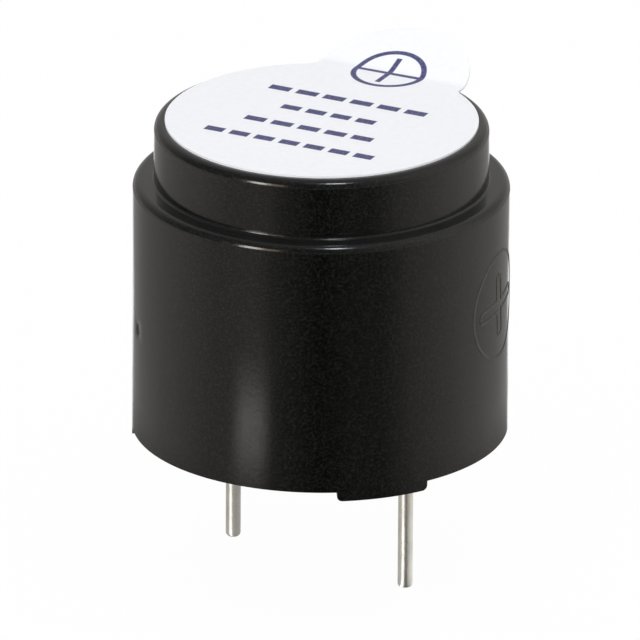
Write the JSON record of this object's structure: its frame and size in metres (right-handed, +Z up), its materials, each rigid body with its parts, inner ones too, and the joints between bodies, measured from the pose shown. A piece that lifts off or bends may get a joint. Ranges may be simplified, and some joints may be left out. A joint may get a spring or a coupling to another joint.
{
  "type": "magnetic buzzer",
  "caption": "Round magnetic buzzer for a circuit board, with a stepped black housing, two round leads underneath and a peel-off wash seal on top.",
  "frame": {"origin": "on the body's axis, midway between the two leads, at the seating plane under the standoff feet", "axes": "+Z up along the body's axis, towards the sound hole and the seal; +X towards the longer, positive lead"},
  "size_m": [0.0161, 0.0171, 0.022],
  "materials": {
    "black_moulding": "black moulded plastic, satin gloss",
    "white_film": "white film, satin",
    "ring_plastic": "natural moulded plastic",
    "spring_steel": "thin spring steel",
    "soft_iron": "plated soft iron",
    "magnet": "grey magnet, matte",
    "enamelled_wire": "enamelled copper winding",
    "board": "glass-fibre board",
    "copper": "etched copper",
    "part_moulding": "black moulded component body",
    "ceramic": "fired ceramic",
    "tinned_lead": "tin plate, slightly dull",
    "solder": "solder, bright",
    "cover_moulding": "black moulded plastic, matte",
    "resin": "black poured resin, glossy"
  },
  "bodies": {
    "root": {"housing": "black_moulding", "wash_seal": "white_film", "support_ring": "ring_plastic", "diaphragm": "spring_steel", "diaphragm_weight": "soft_iron", "ring_magnet": "magnet", "coil": "enamelled_wire", "pole_core": "soft_iron", "yoke_plate": "soft_iron", "circuit_board": "board", "board_tracks": "copper", "transistor": "part_moulding", "base_resistor": "part_moulding", "clamp_diode": "part_moulding", "filter_capacitor": "ceramic", "positive_pin": "tinned_lead", "negative_pin": "tinned_lead", "positive_pin_solder": "solder", "negative_pin_solder": "solder", "coil_lead_solder": "solder", "base_cover": "cover_moulding", "sealing_resin": "resin"}
  },
  "joints": []
}
